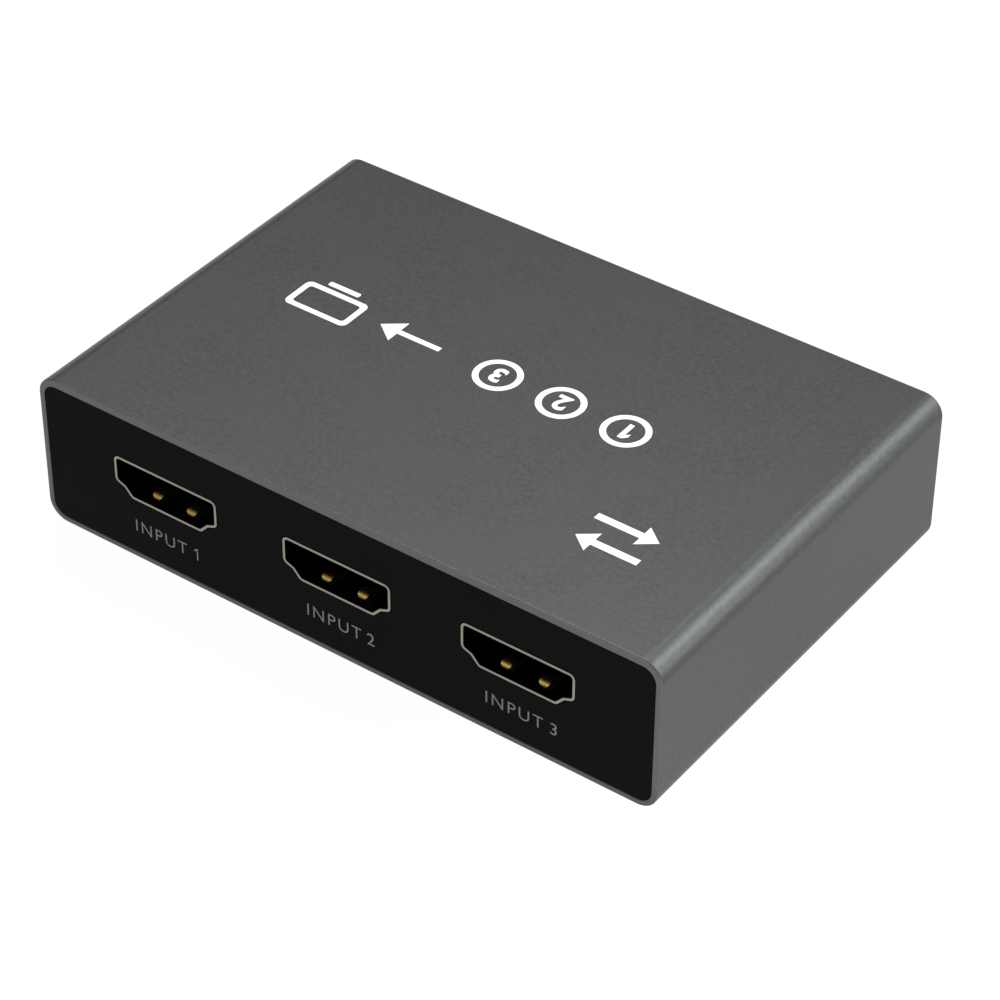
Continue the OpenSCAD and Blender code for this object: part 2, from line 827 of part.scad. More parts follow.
module power_insulator() {
    w = contact_w + 2 * contact_clear;
    h = contact_t + 2 * contact_clear;
    color("#121212")
    at_inlet() difference() {
        union() {
            translate([0, inlet_block, 0])
                extrude_y(inlet_back - inlet_block) inlet_outline(-inlet_t - insulator_clear);
            translate([0, inlet_tongue_front, -inlet_tongue_t / 2])
                translate([-inlet_tongue_w / 2, 0, 0])
                    cube([inlet_tongue_w, inlet_block - inlet_tongue_front + over, inlet_tongue_t]);
        }
        at_inlet_contacts() translate([-w / 2, inlet_blade_front - contact_clear, $blade_z - contact_clear])
            cube([w, inlet_back - inlet_blade_front + over, h]);
    }
}

module power_contacts() {
    board = -inlet_h / 2;
    color("#c9a14a")
    at_inlet() at_inlet_contacts() extrude_x(contact_w) polygon([
        [inlet_blade_front, $blade_z],
        [inlet_back, $blade_z],
        [inlet_back, board],
        [inlet_back + contact_foot, board],
        [inlet_back + contact_foot, board + contact_t],
        [inlet_back + contact_t, board + contact_t],
        [inlet_back + contact_t, $blade_z + contact_t],
        [inlet_blade_front, $blade_z + contact_t]
    ]);
}

// Select button and the push switch behind it
module turned_y(points) {
    rotate([-90, 0, 0]) rotate_extrude() polygon(points);
}

module select_button() {
    r = button_d / 2;
    crown = box_d / 2 + button_proud;
    crown_r = min(button_proud, r / 4) * 0.6;
    color("#1a1a1b")
    at_button() difference() {
        turned_y(concat(
            [[0, hub_back], [hub_d / 2, hub_back], [hub_d / 2, collar_back]],
            [[r + button_collar, collar_back], [r + button_collar, collar_front], [r, collar_front]],
            arc([r - crown_r, crown - crown_r], crown_r, 0, 90),
            [[0, crown]]
        ));
        rod_y(plunger_d + 2 * cap_fit, hub_back - over, plunger_tip + cap_fit);
    }
}

module switch_plunger() {
    color("#e2ddd0")
    at_button() union() {
        rod_y(plunger_d, plunger_collar_back, plunger_tip);
        rod_y(plunger_collar_d, plunger_collar_back, plunger_collar_front);
        rod_y(dome_d / 3, plunger_collar_back - nub_len, plunger_collar_back + plunger_collar_t / 2);
    }
}

module switch_base() {
    color("#202020")
    difference() {
        translate([button_x, base_front - switch_depth / 2, board_top])
            block([switch_size, switch_depth, switch_size]);
        at_button() rod_y(plunger_collar_d + 4 * switch_clear, cavity_back, base_front + over);
        at_terminals() translate([0, 0, board_top - over]) block([
            terminal_w + 2 * contact_clear,
            terminal_t + 2 * contact_clear,
            terminal_pocket + over + contact_clear
        ]);
    }
}

module switch_terminals() {
    h = board_top + terminal_pocket - pin_bottom;
    color("#c8c8c4")
    at_terminals() translate([0, 0, pin_bottom]) block([terminal_w, terminal_t, h]);
}

// A plate over the base's front, with an arm and a leg down each side
module switch_cover() {
    leg_h = axis_z - pin_bottom;
    color("#bcbcb8")
    difference() {
        union() {
            translate([button_x, base_front + cover_t / 2, board_top])
                block([switch_size + 2 * cover_t, cover_t, switch_size]);
            at_cover_arms() translate([0, 0, axis_z - cover_arm_h / 2])
                block([cover_t, cover_arm, cover_arm_h]);
            at_cover_arms() translate([0, 0, pin_bottom]) block([cover_t, cover_leg_w, leg_h]);
        }
        at_button() rod_y(plunger_d + 2 * switch_clear, base_front - over, cover_front + over);
    }
}

module switch_dome() {
    r = dome_d / 2;
    ball_r = (r * r + dome_h * dome_h) / (2 * dome_h);
    rim = asin(r / ball_r);
    centre = [0, cavity_back + dome_h - ball_r];
    inner_r = ball_r - dome_t;
    inner_rim = acos((ball_r - dome_h) / inner_r);
    color("#d8d2c0")
    at_button() turned_y(concat(
        arc(centre, ball_r, 90 - rim, 90),
        arc(centre, inner_r, 90, 90 - inner_rim)
    ));
}

// Status lights: chips on the board, and one clear moulding that carries their light to the panel
module light_rod(d, l) {
    translate([0, 0, axis_z - board_top]) rod_y(d, 0, l);
}

module light_elbow() {
    r = light_d / 2;
    height = axis_z - board_top;
    start = led_h + stop_gap;
    difference() {
        union() {
            translate([0, -r, 0]) light_rod(light_d, light_len + r);
            translate([0, 0, start]) cylinder(d = light_d, h = height + r - start);
        }
        translate([0, 0, height]) rotate([45, 0, 0])
            translate([-light_d, -2 * light_d, 0]) cube([2 * light_d, 4 * light_d, 2 * light_d]);
    }
}

module light_guide() {
    height = axis_z - board_top;
    span = (input_n - 1) * light_pitch;
    color("#e8eef0")
    union() {
        for (i = [1:input_n]) {
            at_light(i) light_elbow();
        }
        translate([lights_x, guide_bar_y, axis_z - guide_bar / 2]) block([span, guide_bar, guide_bar]);
        at_guide_posts() block([guide_post, guide_post, height]);
        at_guide_posts() translate([0, 0, -guide_peg_len])
            cylinder(d = guide_peg_d, h = guide_peg_len + over);
    }
}

module status_led(i) {
    cup = led_d * 0.7;
    color("#f0f0e6")
    at_light(i) difference() {
        block([led_w, led_d, led_h]);
        translate([0, 0, led_h / 2]) cylinder(d1 = cup * 0.7, d2 = cup, h = led_h / 2);
        translate([0, 0, led_h]) cylinder(d = cup, h = over);
    }
}

// Chips and power parts on the board
module on_board(x, y) {
    translate([x, y, board_top]) children();
}

module switching_chip() {
    mark = chip_size * 0.36;
    mark_depth = chip_h / 9;
    color("#17181a")
    on_board(0, 0) difference() {
        block([chip_size, chip_size, chip_h]);
        translate([-mark, mark, chip_h - mark_depth]) cylinder(d = chip_size / 10, h = over);
    }
}

// A lead that leaves a body's side at height z, drops to the board and ends in a foot
module gull_lead(w, t, out, z) {
    extrude_x(w) polygon([
        [-out / 2, z],
        [out * 0.4, z],
        [out * 0.5, 0],
        [out, 0],
        [out, t],
        [out * 0.5 + t, t],
        [out * 0.4 + t, z + t],
        [-out / 2, z + t]
    ]);
}

module controller_chip() {
    last = floor((controller_l - 2 * lead_w) / lead_pitch);
    color("#17181a")
    on_board(controller_x, controller_y) union() {
        translate([0, 0, stand_off]) block([controller_l, controller_w, controller_h - stand_off]);
        for (side = [0, 180], k = [0:last]) {
            rotate(side) translate([(k - last / 2) * lead_pitch, controller_w / 2, 0])
                gull_lead(lead_w, lead_t, lead_out, controller_h / 2);
        }
    }
}

module crystal() {
    lid = crystal_h * 0.3;
    color("#c4c4c0")
    on_board(crystal_x, controller_y) union() {
        block([crystal_l, crystal_w, crystal_h - lid]);
        block([crystal_l - lid, crystal_w - lid, crystal_h]);
    }
}

module regulator() {
    lead = regulator_pitch * 0.3;
    sheet = regulator_h * 0.16;
    color("#17181a")
    on_board(inlet_x, regulator_y) union() {
        translate([0, 0, stand_off]) block([regulator_l, regulator_w, regulator_h - stand_off]);
        for (k = [-1, 0, 1]) {
            translate([k * regulator_pitch, regulator_w / 2, 0])
                gull_lead(lead, sheet, regulator_out, regulator_h / 2);
        }
        translate([0, -regulator_w / 2, 0]) block([regulator_pitch * 1.3, 2 * regulator_out, sheet]);
    }
}

// An eight-sided ferrite block with the winding's round window in its top
module power_inductor() {
    s = inductor_size / 2;
    cut = inductor_size * 0.16;
    window = inductor_h * 0.1;
    color("#3a3a3c")
    on_board(inductor_x, inductor_y) difference() {
        linear_extrude(inductor_h) polygon([
            [s, cut - s], [s, s - cut], [s - cut, s], [cut - s, s],
            [-s, s - cut], [-s, cut - s], [cut - s, -s], [s - cut, -s]
        ]);
        translate([0, 0, inductor_h - window]) cylinder(d = inductor_size * 0.7, h = over);
    }
}

// A can with a rolled neck and a rounded top on a square base
module bulk_capacitor() {
    r = bulk_d / 2;
    base = bulk_h * 0.15;
    base_w = bulk_d * 1.06;
    neck = bulk_h * 0.25;
    roll = bulk_h * 0.055;
    color("#a8aaac")
    on_board(inlet_x, bulk_y) union() {
        block([base_w, base_w, base]);
        rotate_extrude() polygon(concat(
            [[0, 0], [r, 0], [r, neck - roll], [r - roll * 0.7, neck], [r, neck + roll]],
            arc([r - roll, bulk_h - roll], roll, 0, 90),
            [[0, bulk_h]]
        ));
    }
}

// Surge arrays behind each socket, coupling capacitors beside the chip, resistors by the controller
module surge_arrays() {
    color("#222224")
    for (k = [0:array_n - 1]) {
        x = (k - (array_n - 1) / 2) * array_pitch;
        for (i = [1:input_n]) {
            on_board((i - (input_n + 1) / 2) * socket_pitch + x, -array_y) block(array_size);
        }
        on_board(output_x + x, array_y) block(array_size);
    }
}

module ceramic_capacitors() {
    n = floor(chip_size / small_pitch);
    color("#b08d62")
    for (side = [-1, 1], k = [0:n - 1]) {
        along = (k - (n - 1) / 2) * small_pitch;
        on_board(along, side * chip_row_y) rotate(90) block(capacitor_size);
        on_board(side * chip_row_y, along) block(capacitor_size);
    }
}

module chip_resistors() {
    n = 4;
    row_y = controller_w / 2 + lead_out + row_gap;
    color("#2a2a2c")
    for (side = [-1, 1], k = [0:n - 1]) {
        on_board(controller_x + (k - (n - 1) / 2) * small_pitch, controller_y + side * row_y)
            rotate(90) block(resistor_size);
    }
}

sleeve();
input_panel();
output_panel();
panel_screws();
rubber_feet();
main_board();
for (i = [1:input_n]) {
    at_input(i) video_shell();
    at_input(i) video_insulator();
    at_input(i) video_contacts();
    status_led(i);
}
at_output() video_shell();  // output_shell
at_output() video_insulator();  // output_insulator
at_output() video_contacts();  // output_contacts
power_shell();
power_insulator();
power_contacts();
select_button();
switch_plunger();
switch_base();
switch_cover();
switch_dome();
switch_terminals();
light_guide();
switching_chip();
controller_chip();
crystal();
regulator();
power_inductor();
bulk_capacitor();
ceramic_capacitors();
chip_resistors();
surge_arrays();
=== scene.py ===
"""A video switch box on a white table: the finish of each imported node, the prints and the studio."""
import json
import math

import bmesh
import bpy
from mathutils import Euler, Matrix, Vector


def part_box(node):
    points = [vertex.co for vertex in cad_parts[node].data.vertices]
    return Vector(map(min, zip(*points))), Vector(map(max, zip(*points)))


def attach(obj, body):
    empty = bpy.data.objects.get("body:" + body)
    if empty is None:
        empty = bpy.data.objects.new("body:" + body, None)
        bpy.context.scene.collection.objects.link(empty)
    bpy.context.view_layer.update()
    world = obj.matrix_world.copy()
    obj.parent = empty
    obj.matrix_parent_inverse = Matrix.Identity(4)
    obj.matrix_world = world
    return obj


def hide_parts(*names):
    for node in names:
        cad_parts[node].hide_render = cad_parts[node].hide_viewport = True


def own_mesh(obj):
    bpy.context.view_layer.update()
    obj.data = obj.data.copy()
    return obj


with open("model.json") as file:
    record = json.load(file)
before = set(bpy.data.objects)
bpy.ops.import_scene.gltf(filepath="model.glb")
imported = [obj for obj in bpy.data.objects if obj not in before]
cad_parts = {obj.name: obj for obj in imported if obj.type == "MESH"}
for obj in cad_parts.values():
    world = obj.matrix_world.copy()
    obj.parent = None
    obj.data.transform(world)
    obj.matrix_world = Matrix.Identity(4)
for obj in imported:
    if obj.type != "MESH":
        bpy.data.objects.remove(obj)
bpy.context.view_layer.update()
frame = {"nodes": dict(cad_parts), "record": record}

MM = 0.001

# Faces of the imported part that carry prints, and sizes that its finish follows
SLEEVE_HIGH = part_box("sleeve")[1]
PANEL_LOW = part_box("input_panel")[0]
PANEL_FACE = -PANEL_LOW.y
SHELL_LOW, SHELL_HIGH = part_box("input_2_shell")
SHELL_W = SHELL_HIGH.x - SHELL_LOW.x
SOCKET_MIDDLE = sum(corner.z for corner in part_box("input_2_insulator")) / 2
FINGER_SPREAD = 4.9 * MM
FINGER_W = 1.3 * MM
SOCKET_HALF = 4.55 * MM / 2

# Thickness of a print, most of it above the face that carries it
INK = 0.014 * MM
INK_SUNK = 0.004 * MM

# Most of a noise's values lie between these
NOISE_LOW, NOISE_HIGH = 0.3, 0.7

# What the lamps face, and their light, which is very slightly green, least so from overhead
LAMP_AIM = Vector((0.0, 0.0, 0.01))
LAMP_TINT = (0.95, 1.0, 0.95)
OVERHEAD_TINT = (0.968, 1.0, 0.983)

# The photograph's camera, found from the box's edges and its sockets' rims
LENS = 124.65
SENSOR = 36.0
CAMERA_PLACE = Vector((180.456, -247.985, 249.724)) * MM
CAMERA_TURN = (51.4034, -0.2778, 36.0313)


class Finish:
    """A material with one principled shader, and short calls that add textures to it."""

    def __init__(self, name, **values):
        self.material = bpy.data.materials.new(name)
        self.material.use_nodes = True
        self.nodes = self.material.node_tree.nodes
        self.links = self.material.node_tree.links
        self.shader = self.nodes["Principled BSDF"]
        self.coordinates = self.nodes.new("ShaderNodeTexCoord")
        self.place = self.coordinates.outputs["Object"]
        for word, value in values.items():
            self.shader.inputs[word.replace("_", " ")].default_value = value

    def add(self, kind, inputs, output=0, **settings):
        """A new node with these inputs, which are values or other nodes' outputs."""
        node = self.nodes.new(kind)
        for key, value in settings.items():
            setattr(node, key, value)
        for key, value in inputs.items():
            if isinstance(value, bpy.types.NodeSocket):
                self.links.new(value, node.inputs[key])
            else:
                node.inputs[key].default_value = value
        return node.outputs[output]

    def noise(self, size, detail=2.0, stretch=(1.0, 1.0, 1.0)):
        """Cloudy values about 0.5, with lumps of about this size, longer where stretch is above 1."""
        scale = tuple(1.0 / (size * s) for s in stretch)
        scaled = self.add("ShaderNodeMapping", {"Vector": self.place, "Scale": scale})
        return self.add("ShaderNodeTexNoise", {"Vector": scaled, "Scale": 1.0, "Detail": detail})

    def axis(self, letter, source=None):
        """One coordinate of a point on the surface."""
        return self.add("ShaderNodeSeparateXYZ", {"Vector": source or self.place}, "XYZ".index(letter))

    def math(self, operation, *values):
        """A sum on values or other nodes' outputs."""
        return self.add("ShaderNodeMath", dict(enumerate(values)), operation=operation)

    def within(self, value, middle, reach):
        """1 where a value is within reach of the middle, and 0 elsewhere."""
        return self.math("COMPARE", value, middle, reach)

    def ramp(self, value, low, high, start=0.0, end=1.0):
        """A value spread smoothly from start to end while it goes from low to high."""
        inputs = {"Value": value, "From Min": low, "From Max": high, "To Min": start, "To Max": end}
        return self.add("ShaderNodeMapRange", inputs, interpolation_type="SMOOTHSTEP")

    def spread(self, noise, start=0.0, end=1.0):
        """A noise's usual values spread from start to end."""
        return self.ramp(noise, NOISE_LOW, NOISE_HIGH, start, end)

    def blend(self, share, first, second):
        """The first colour where share is 0 and the second where it is 1."""
        inputs = {0: share}
        for key, colour in ((6, first), (7, second)):
            inputs[key] = colour if isinstance(colour, bpy.types.NodeSocket) else (*colour, 1.0)
        return self.add("ShaderNodeMix", inputs, 2, data_type="RGBA")

    def colour(self, value):
        """Gives the surface a colour that a node makes."""
        self.links.new(value, self.shader.inputs["Base Color"])

    def roughness(self, value):
        """Gives the surface a roughness that a node makes."""
        self.links.new(value, self.shader.inputs["Roughness"])

    def relief(self, height, depth, round_edges=0.0):
        """Bumps of this depth for a height from 0 to 1, and edges that look rounded by a radius."""
        inputs = {"Height": height, "Distance": depth}
        if round_edges:
            inputs["Normal"] = self.add("ShaderNodeBevel", {"Radius": round_edges}, samples=8)
        bump = self.add("ShaderNodeBump", inputs)
        self.links.new(bump, self.shader.inputs["Normal"])


def shade(colour, factor):
    """A colour made lighter or darker."""
    return tuple(c * factor for c in colour)


def sleeve_aluminium():
    """Bead-blasted aluminium, anodised dark grey, with painted light on the machined mouths: lighter
    rims with painted shade towards their bottom, and a painted highlight at the rims' top and along the
    arris.
    """
    grey = (0.0738, 0.0754, 0.0744)
    grain_contrast = 0.11
    # Lit and shaded copies of the grey: painted light on the rim, painted shade on its lower part, a
    # painted highlight at its top and on the arris.
    shaded_lower_rim, lit_upper_rim, highlit_rim_top, arris_highlight = (shade(grey, tone) for tone in (1.25, 1.53, 2.0, 1.7))
    rim_depth, arris_from, arris_to = 0.005 * MM, 0.03 * MM, 0.22 * MM
    highlight_from, highlight_to = SLEEVE_HIGH.z - 0.35 * MM, SLEEVE_HIGH.z - 0.05 * MM
    finish = Finish("sleeve_aluminium", Metallic=1.0)
    pits = finish.noise(0.16 * MM, detail=3.0)
    stains = finish.noise(11 * MM, detail=4.0)
    grains = finish.ramp(finish.noise(0.55 * MM, detail=1.0), 0.25, 0.75)
    low, high = (
        finish.blend(grains, shade(grey, tone - grain_contrast), shade(grey, tone + grain_contrast))
        for tone in (0.88, 1.12)
    )
    skin = finish.blend(finish.spread(pits), low, high)
    stained = finish.blend(0.5, skin, shade(grey, 1.06))
    skin = finish.blend(finish.ramp(stains, 0.35, 0.65), skin, stained)
    depth = finish.math("SUBTRACT", SLEEVE_HIGH.y, finish.math("ABSOLUTE", finish.axis("Y")))
    # Painted highlight along the mouth's arris, fading into the skin further in.
    highlit_arris = finish.blend(finish.ramp(depth, arris_from, arris_to), arris_highlight, skin)
    up = finish.axis("Z")
    # Painted light on the rim, darker towards the bottom as painted shade, with a painted highlight
    # along its top.
    rim = finish.blend(finish.ramp(up, 2 * MM, 6 * MM), shaded_lower_rim, lit_upper_rim)
    rim = finish.blend(finish.ramp(up, highlight_from, highlight_to), rim, highlit_rim_top)
    finish.colour(finish.blend(finish.ramp(depth, rim_depth, arris_from), rim, highlit_arris))
    finish.roughness(finish.ramp(pits, 0.25, 0.75, 0.38, 0.48))
    finish.relief(pits, 0.012 * MM, round_edges=0.3 * MM)
    return finish.material


def moulded_plastic(name, colour, roughness, grain=0.11 * MM, depth=0.004 * MM, gloss=0.3):
    """Plastic from a finely spark-eroded mould."""
    finish = Finish(name, Specular_IOR_Level=gloss)
    texture = finish.noise(grain)
    handling = finish.noise(9 * MM, detail=3.0)
    finish.colour(finish.blend(finish.spread(texture), shade(colour, 0.8), shade(colour, 1.25)))
    finish.roughness(finish.spread(handling, roughness - 0.05, roughness + 0.06))
    finish.relief(texture, depth)
    return finish.material


def plated_metal(name, colour, roughness, rolled=(1.0, 14.0, 1.0)):
    """The finish of plated sheet metal with faint rolling lines."""
    finish = Finish(name, Metallic=1.0)
    lines = finish.noise(0.05 * MM, stretch=rolled)
    tarnish = finish.noise(2.5 * MM, detail=3.0)
    metal = finish.blend(finish.spread(lines), shade(colour, 0.88), shade(colour, 1.06))
    finish.colour(finish.blend(finish.ramp(tarnish, 0.45, 0.75, 0.0, 0.3), metal, shade(colour, 0.7)))
    finish.roughness(finish.spread(lines, roughness - 0.05, roughness + 0.08))
    finish.relief(lines, 0.002 * MM)
    return finish


def shell_metal(name, fingers):
    """Sheet metal, bright at the cut rim of the mouth and dark deeper in, with a gold flash on any
    spring fingers.
    """
    bright, dark, gold = (0.255, 0.255, 0.2), (0.03, 0.029, 0.027), (0.5, 0.325, 0.09)
    rim_depth, dark_from = 0.03 * MM, 0.08 * MM
    gold_depth, gold_end = 2.2 * MM, 3.4 * MM
    strip_half = FINGER_W / 2 + 0.06 * MM
    lift_half = SOCKET_HALF - 0.03 * MM
    finish = plated_metal(name, bright, 0.3)
    edge = finish.shader.inputs["Base Color"].links[0].from_socket
    depth = finish.math("SUBTRACT", PANEL_FACE, finish.math("ABSOLUTE", finish.axis("Y")))
    metal = finish.blend(finish.ramp(depth, rim_depth, dark_from), edge, dark)
    if fingers:
        share = finish.axis("X", finish.coordinates.outputs["Generated"])
        across = finish.math("MULTIPLY", finish.math("SUBTRACT", share, 0.5), SHELL_W)
        strip = finish.within(finish.math("ABSOLUTE", across), FINGER_SPREAD / 2, strip_half)
        up = finish.math("ABSOLUTE", finish.math("SUBTRACT", finish.axis("Z"), SOCKET_MIDDLE))
        raised = finish.math("LESS_THAN", up, lift_half)
        tip = finish.math("MULTIPLY", strip, finish.ramp(depth, gold_depth, gold_end, 1.0, 0.0))
        metal = finish.blend(finish.math("MULTIPLY", raised, tip), metal, gold)
    finish.colour(metal)
    return finish.material


def foot_rubber():
    """Matt black rubber, slightly dusty."""
    finish = Finish("foot_rubber", Roughness=0.85, Specular_IOR_Level=0.25)
    dust = finish.noise(0.7 * MM, detail=5.0)
    black, dusty = (0.012, 0.012, 0.012), (0.03, 0.03, 0.029)
    finish.colour(finish.blend(finish.ramp(dust, 0.4, 0.8), black, dusty))
    finish.relief(dust, 0.02 * MM)
    return finish.material


def board_laminate():
    """Green solder mask over woven glass."""
    finish = Finish("board_laminate", Roughness=0.35, Coat_Weight=0.3, Coat_Roughness=0.2)
    thread, dark, light = 0.25 * MM, (0.004, 0.025, 0.01), (0.008, 0.042, 0.018)
    warp = finish.noise(thread, stretch=(6.0, 1.0, 1.0))
    weft = finish.noise(thread, stretch=(1.0, 6.0, 1.0))
    weave = finish.math("MULTIPLY", warp, weft)
    finish.colour(finish.blend(finish.ramp(weave, 0.15, 0.35), dark, light))
    finish.relief(weave, 0.01 * MM)
    return finish.material


def clear_acrylic():
    """Milky acrylic that scatters the light it carries."""
    finish = Finish("clear_acrylic", IOR=1.49, Transmission_Weight=0.25)
    flow = finish.noise(1.5 * MM, detail=1.0)
    finish.colour(finish.blend(flow, (0.5, 0.51, 0.52), (0.56, 0.57, 0.58)))
    finish.roughness(finish.spread(flow, 0.3, 0.36))
    return finish.material


def print_ink(name, colour):
    """Pad-printed ink, a little uneven in cover."""
    finish = Finish(name, Roughness=0.55, Specular_IOR_Level=0.3)
    cover = finish.noise(0.3 * MM, detail=4.0)
    finish.colour(finish.blend(finish.spread(cover), shade(colour, 0.93), colour))
    finish.relief(cover, 0.002 * MM)
    return finish.material


FINISHES = {
    "sleeve_aluminium": sleeve_aluminium(),
    "panel_plastic": moulded_plastic("panel_plastic", (0.0055, 0.0049, 0.0053), 0.42, gloss=0.012),
    "button_plastic": moulded_plastic("button_plastic", (0.011, 0.011, 0.0115), 0.36),
    "plunger_plastic": moulded_plastic("plunger_plastic", (0.72, 0.68, 0.58), 0.45),
    "black_resin": moulded_plastic("black_resin", (0.009, 0.009, 0.0095), 0.55),
    "ferrite": moulded_plastic("ferrite", (0.04, 0.04, 0.042), 0.7, 0.2 * MM, 0.02 * MM),
    "ceramic": moulded_plastic("ceramic", (0.42, 0.28, 0.13), 0.5),
    "led_white": moulded_plastic("led_white", (0.82, 0.82, 0.76), 0.4),
    "shell_metal": shell_metal("shell_metal", fingers=True),
    "inlet_metal": shell_metal("inlet_metal", fingers=False),
    "spring_steel": plated_metal("spring_steel", (0.62, 0.61, 0.57), 0.28).material,
    "screw_steel": plated_metal("screw_steel", (0.5, 0.51, 0.53), 0.35, (1.0, 1.0, 1.0)).material,
    "capacitor_can": plated_metal("capacitor_can", (0.66, 0.67, 0.68), 0.3, (1.0, 1.0, 10.0)).material,
    "contact_gold": plated_metal("contact_gold", (0.83, 0.57, 0.2), 0.22).material,
    "foot_rubber": foot_rubber(),
    "board_laminate": board_laminate(),
    "clear_acrylic": clear_acrylic(),
}

# Nodes whose finish is another one than their slot's
OWN_FINISH = {"power_shell": "inlet_metal", "switch_cover": "spring_steel"}


def dress_nodes():
    """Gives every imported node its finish, which is that of its material slot in most cases."""
    for part in frame["record"]["subparts"]:
        finish = FINISHES[OWN_FINISH.get(part["node"], part["material_slot"])]
        for slot in frame["nodes"][part["node"]].material_slots:
            slot.material = finish


def snap_dome():
    """The switch's dome, as a copy with a mesh of its own on the case, in place of the imported dome."""
    piece = bpy.data.objects.new("snap_dome", frame["nodes"]["switch_dome"].data.copy())
    bpy.context.collection.objects.link(piece)
    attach(piece, "case")
    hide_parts("switch_dome")
    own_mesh(piece)


def circle(radius, steps=64):
    """Points of a circle about the origin."""
    angles = [2 * math.pi * k / steps for k in range(steps)]
    return [Vector((radius * math.cos(a), radius * math.sin(a))) for a in angles]


def rounded(width, height, radius, steps=8):
    """Points of a rectangle about the origin, with round corners."""
    points = []
    for quarter, (side, end) in enumerate(((1, 1), (-1, 1), (-1, -1), (1, -1))):
        centre = Vector((side * (width / 2 - radius), end * (height / 2 - radius)))
        for k in range(steps + 1):
            angle = (quarter + k / steps) * math.pi / 2
            points.append(centre + radius * Vector((math.cos(angle), math.sin(angle))))
    return points


def inked(curve, height=None):
    """A thin clean mesh of a flat curve or of letters, centred, and scaled if a height is given."""
    maker = bpy.data.objects.new(curve.name, curve)
    curve.extrude = 0.5
    mesh = bpy.data.meshes.new_from_object(maker)
    bpy.data.objects.remove(maker)
    bpy.data.curves.remove(curve)
    work = bmesh.new()
    work.from_mesh(mesh)
    xs = [v.co.x for v in work.verts]
    ys = [v.co.y for v in work.verts]
    scale = height / (max(ys) - min(ys)) if height else 1.0
    middle = Vector(((max(xs) + min(xs)) / 2, (max(ys) + min(ys)) / 2, 0.0)) if height else Vector()
    for vertex in work.verts:
        flat = (vertex.co - middle) * scale
        vertex.co = (flat.x, flat.y, INK - INK_SUNK if vertex.co.z > 0 else -INK_SUNK)
    bmesh.ops.remove_doubles(work, verts=work.verts, dist=0.1 * INK)
    bmesh.ops.recalc_face_normals(work, faces=work.faces)
    work.to_mesh(mesh)
    work.free()
    return mesh


def letters(name, words, height, weight=0.0, tracking=1.0):
    """Printed letters or figures of this height: more weight is bolder, more tracking is wider apart."""
    curve = bpy.data.curves.new(name, "FONT")
    curve.body = words
    curve.offset = weight
    curve.space_character = tracking
    curve.resolution_u = 8
    return inked(curve, height)


def stencil(name, *outlines):
    """A printed shape whose inner outlines are holes."""
    curve = bpy.data.curves.new(name, "CURVE")
    curve.dimensions = "2D"
    curve.fill_mode = "BOTH"
    for outline in outlines:
        spline = curve.splines.new("POLY")
        spline.points.add(len(outline) - 1)
        spline.use_cyclic_u = True
        for point, place in zip(spline.points, outline):
            point.co = (*place, 0.0, 1.0)
    return inked(curve)


def print_on(mesh, ink, origin, turn):
    """Puts a printed mesh on the box: its own plane at the origin given, turned by these angles."""
    mesh.materials.append(ink)
    piece = bpy.data.objects.new(mesh.name, mesh)
    bpy.context.collection.objects.link(piece)
    turned = Euler([math.radians(a) for a in turn]).to_matrix().to_4x4()
    mesh.transform(Matrix.Translation(origin) @ turned)
    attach(piece, "case")


def arrow(length, line, half):
    """The outline of an arrow along +X, centred, with a head of this half width."""
    head = 1.3 * half
    end, neck = length / 2, length / 2 - head
    side = [(-end, line / 2), (neck, line / 2), (neck, half), (end, 0.0)]
    return [Vector(p) for p in side] + [Vector((x, -y)) for x, y in side[-2::-1]]


def figure(name, number, height, stem, weight=0.0):
    """A printed figure of this height. The one has a flag, and a stem of the width given."""
    if number != 1:
        return letters(name, str(number), height, weight)
    top, flag, drop, hook = height / 2, 0.3 * height, 0.2 * height, 1.2 * stem
    one = [
        (stem / 2, -top), (stem / 2, top), (-stem / 2, top), (-flag, top - drop),
        (-flag, top - drop - stem), (-stem / 2, top - hook), (-stem / 2, -top),
    ]
    return stencil(name, [Vector(p) for p in one])


def width_of(mesh):
    """How far a mesh reaches along X."""
    xs = [v.co.x for v in mesh.vertices]
    return max(xs) - min(xs)


def print_labels():
    """A plain word and number under each input socket."""
    grey = print_ink("label_ink", (0.175, 0.168, 0.172))
    label_z = PANEL_LOW.z + 3.9 * MM
    cap, stem, length = 1.6 * MM, 0.18 * MM, 9.2 * MM
    upright = (90, 0, 0)
    for number, shift in ((1, -0.1 * MM), (2, 0.45 * MM), (3, 0.55 * MM)):
        low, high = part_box(f"input_{number}_shell")
        middle = Vector(((low.x + high.x) / 2 + shift, PANEL_LOW.y, label_z))
        word = letters(f"input_word_{number}", "INPUT", cap, weight=-0.006, tracking=1.2)
        digit = figure(f"input_number_{number}", number, cap, stem)
        for mesh, side in ((word, -1), (digit, 1)):
            across = side * (length - width_of(mesh)) / 2
            print_on(mesh, grey, middle + Vector((across, 0, 0)), upright)


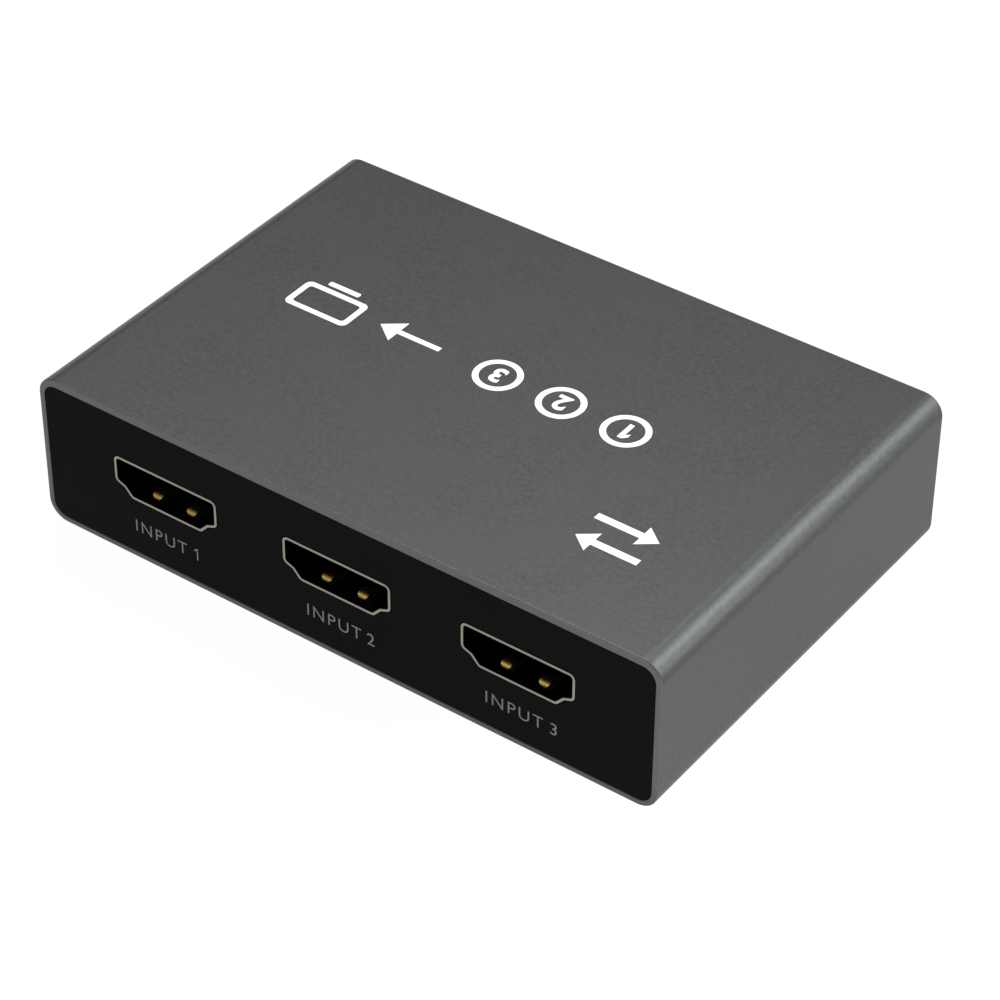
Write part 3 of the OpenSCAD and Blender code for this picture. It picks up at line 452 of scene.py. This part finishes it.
def print_top():
    """Numbered rings, an arrow, a screen and two swap arrows on the top, read from the output side."""
    white = print_ink("top_ink", (0.95, 0.95, 0.94))
    row, corner = Vector((-4.85, 2.2)) * MM, Vector((26.5, -13.6)) * MM
    line = 0.75 * MM
    ring_r, ring_pitch, first_ring = 2.9 * MM, 8.6 * MM, -21.6 * MM
    figure_h, stem = 2.7 * MM, 0.6 * MM
    arrow_l, arrow_half, arrow_x = 8.4 * MM, 2.0 * MM, 7.8 * MM
    screen_w, screen_h, screen_r = 8.8 * MM, 5.0 * MM, 0.8 * MM
    screen_x, screen_y, foot_y = 19.4 * MM, 0.5 * MM, -2.9 * MM
    swap_l, swap_line, swap_half, swap_y = 8.0 * MM, 1.3 * line, 1.7 * MM, 1.95 * MM
    read_from_behind = (0, 0, 180)
    pieces = []
    for k in range(3):
        number, x = k + 1, first_ring + k * ring_pitch
        ring = stencil(f"top_ring_{number}", circle(ring_r), circle(ring_r - line))
        pieces.append((ring, row, x, 0.0))
        digit = figure(f"top_number_{number}", number, figure_h, stem, weight=0.035)
        pieces.append((digit, row, x, 0.0))
    pieces.append((stencil("top_arrow", arrow(arrow_l, line, arrow_half)), row, arrow_x, 0.0))
    screen = stencil(
        "top_screen",
        rounded(screen_w, screen_h, screen_r),
        rounded(screen_w - 2 * line, screen_h - 2 * line, screen_r - line / 2),
    )
    pieces.append((screen, row, screen_x, screen_y))
    foot = stencil("top_screen_foot", rounded(screen_w / 2, line, line / 3))
    pieces.append((foot, row, screen_x, foot_y))
    for k in (-1, 1):
        swap = [k * p for p in arrow(swap_l, swap_line, swap_half)]
        pieces.append((stencil(f"top_swap_{k + 2}", swap), corner, 0.0, k * swap_y))
    for mesh, origin, x, y in pieces:
        print_on(mesh, white, Vector((origin.x - x, origin.y - y, SLEEVE_HIGH.z)), read_from_behind)


def floor():
    """A plain white table far wider than the box, that glows evenly, with a painted pool of light at the
    near right.
    """
    size = 6.0
    painted_light_spot, painted_light_reach = (0.08, -0.055, 0.0), 0.08
    painted_light_glow, plain_glow = (1.45, 1.3, 1.45), (0.99, 0.965, 0.985)
    finish = Finish("white_table", Roughness=0.9, Specular_IOR_Level=0.0, Emission_Strength=1.0)
    finish.shader.inputs["Base Color"].default_value = (0.06, 0.06, 0.06, 1.0)
    ends = {0: finish.place, 1: painted_light_spot}
    away = finish.add("ShaderNodeVectorMath", ends, 1, operation="DISTANCE")
    # A painted pool of light at the near right, brighter and slightly magenta, that the box's right side
    # reflects.
    glow = finish.blend(finish.ramp(away, 0.0, painted_light_reach), painted_light_glow, plain_glow)
    finish.links.new(glow, finish.shader.inputs["Emission Color"])
    mesh = bpy.data.meshes.new("table")
    corners = [(x * size / 2, y * size / 2, 0.0) for x, y in ((-1, -1), (1, -1), (1, 1), (-1, 1))]
    mesh.from_pydata(corners, [], [(0, 1, 2, 3)])
    mesh.materials.append(finish.material)
    table = bpy.data.objects.new("table", mesh)
    bpy.context.collection.objects.link(table)


def softbox(name, place, width, height, power, tint=LAMP_TINT):
    """A soft rectangular lamp that faces the box."""
    lamp = bpy.data.lights.new(name, "AREA")
    lamp.shape = "RECTANGLE"
    lamp.size, lamp.size_y = width, height
    lamp.energy = power
    lamp.color = tint
    holder = bpy.data.objects.new(name, lamp)
    holder.location = place
    holder.rotation_euler = (LAMP_AIM - Vector(place)).to_track_quat("-Z", "Y").to_euler()
    bpy.context.collection.objects.link(holder)


def studio():
    """Faint even light from all round, and soft lamps of which a low one stands close at the right."""
    even_light = 0.25
    scene = bpy.context.scene
    world = bpy.data.worlds.new("studio")
    world.use_nodes = True
    background = world.node_tree.nodes["Background"]
    background.inputs["Color"].default_value = (1.0, 1.0, 1.0, 1.0)
    background.inputs["Strength"].default_value = even_light
    scene.world = world
    scene.view_settings.view_transform = "Standard"
    softbox("overhead", (-0.2, 0.28, 0.75), 0.5, 0.5, 4.0, OVERHEAD_TINT)
    softbox("back_right", (0.84, 1.24, 1.06), 1.4, 1.4, 18.4)
    softbox("right", (0.4, 0.3, 0.5), 0.3, 0.3, 1.95)
    softbox("low_right", (0.25, 0.1, 0.06), 0.14, 0.08, 0.18)
    softbox("low_left", (-1.1, 0.6, 0.2), 0.8, 0.35, 1.0)
    softbox("front", (0.0, -1.1, 0.8), 1.6, 0.9, 5.0)


def camera():
    """The photograph's point of view."""
    data = bpy.data.cameras.new("camera")
    data.lens = LENS
    data.sensor_width = SENSOR
    data.clip_start, data.clip_end = 0.01, 20.0
    holder = bpy.data.objects.new("camera", data)
    holder.location = CAMERA_PLACE
    holder.rotation_euler = [math.radians(a) for a in CAMERA_TURN]
    bpy.context.collection.objects.link(holder)
    bpy.context.scene.camera = holder


dress_nodes()
snap_dome()
print_labels()
print_top()
floor()
studio()
camera()
